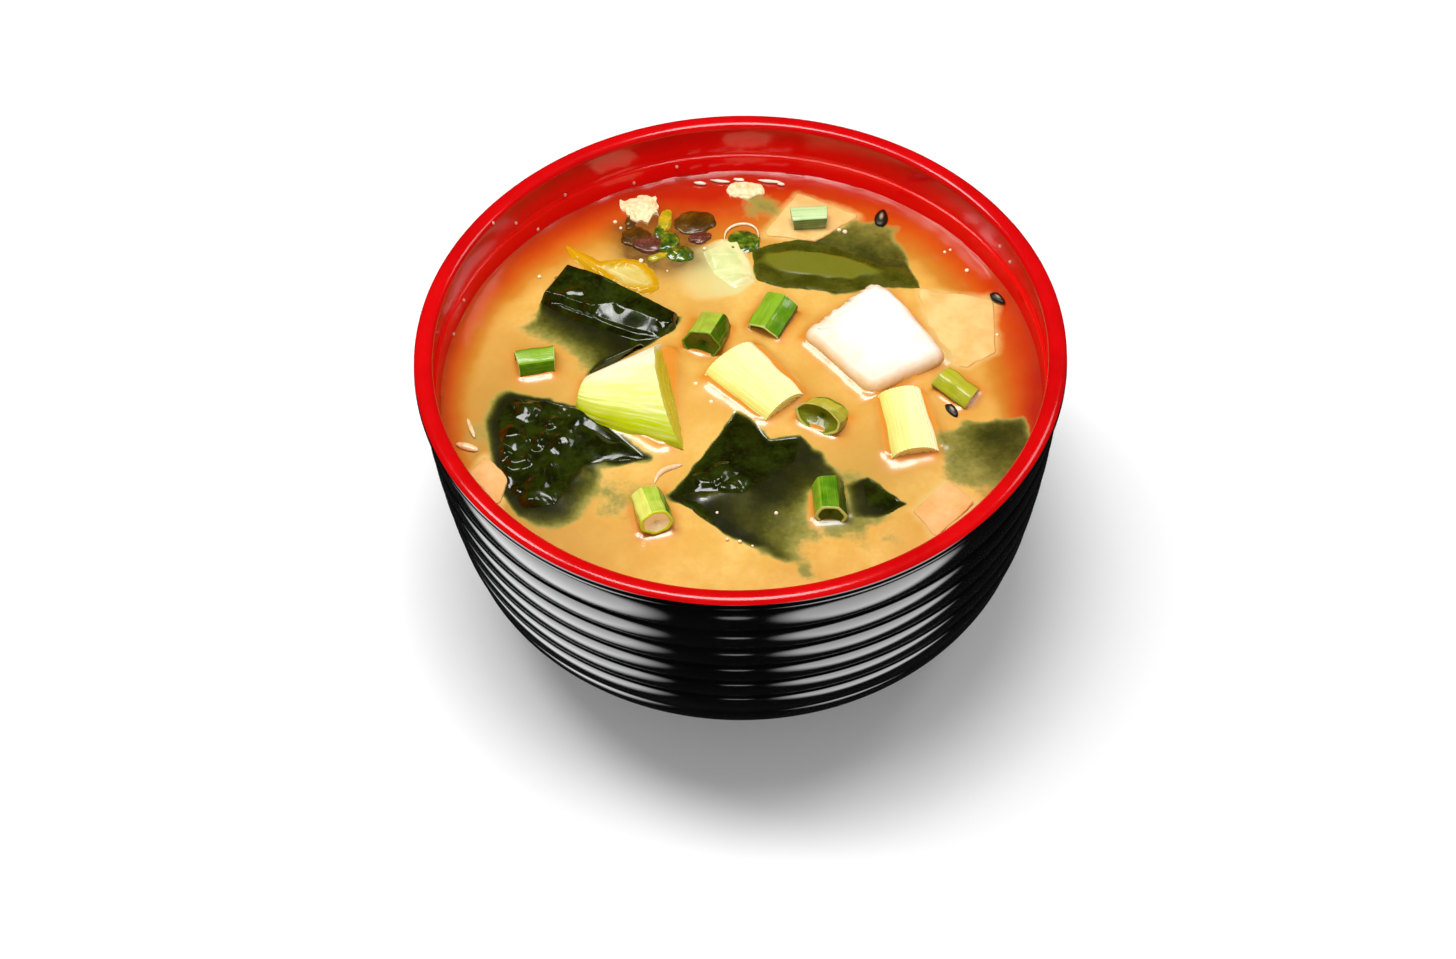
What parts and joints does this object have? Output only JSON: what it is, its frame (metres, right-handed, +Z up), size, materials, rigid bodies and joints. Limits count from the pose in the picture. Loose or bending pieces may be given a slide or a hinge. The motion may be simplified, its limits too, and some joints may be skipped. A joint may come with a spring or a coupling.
{
  "type": "bowl of miso soup",
  "caption": "Miso soup in a ribbed black bowl with a red inside: cloudy broth with tofu, wakame, leek and scallion floating in it.",
  "frame": {"origin": "the middle of the foot's resting face, on the table under the bowl", "axes": "+Z up out of the bowl, -Y towards the eater, +X to the eater's right"},
  "size_m": [0.125, 0.125, 0.064],
  "materials": {
    "lacquer": "glossy black lacquer on moulded resin, bright red inside and over the lip",
    "broth": "cloudy orange-tan liquid, wet and glossy",
    "tofu": "smooth wet bean curd, soft white to cream",
    "leek": "simmered leek, cream to yellow-green with fine lengthwise fibres",
    "scallion": "wet green scallion, paler at its cut ends",
    "wakame": "wet, very dark green seaweed, wrinkled and shiny",
    "soft_leaf": "simmered, half clear pale leaf"
  },
  "bodies": {
    "root": {"bowl": "lacquer", "broth": "broth", "tofu_large": "tofu", "tofu_right": "tofu", "tofu_back": "tofu", "tofu_front": "tofu", "tofu_left": "tofu", "leek_left": "leek", "leek_middle": "leek", "leek_right": "leek", "scallion_back_left": "scallion", "scallion_back_right": "scallion", "scallion_left": "scallion", "scallion_ring": "scallion", "scallion_right": "scallion", "scallion_front_left": "scallion", "scallion_front_right": "scallion", "scallion_on_tofu": "scallion", "wakame_left": "wakame", "wakame_back": "wakame", "wakame_middle": "wakame", "wakame_tip": "wakame", "wakame_far": "wakame", "cabbage_leaf": "soft_leaf", "onion_slice": "soft_leaf"}
  },
  "joints": []
}
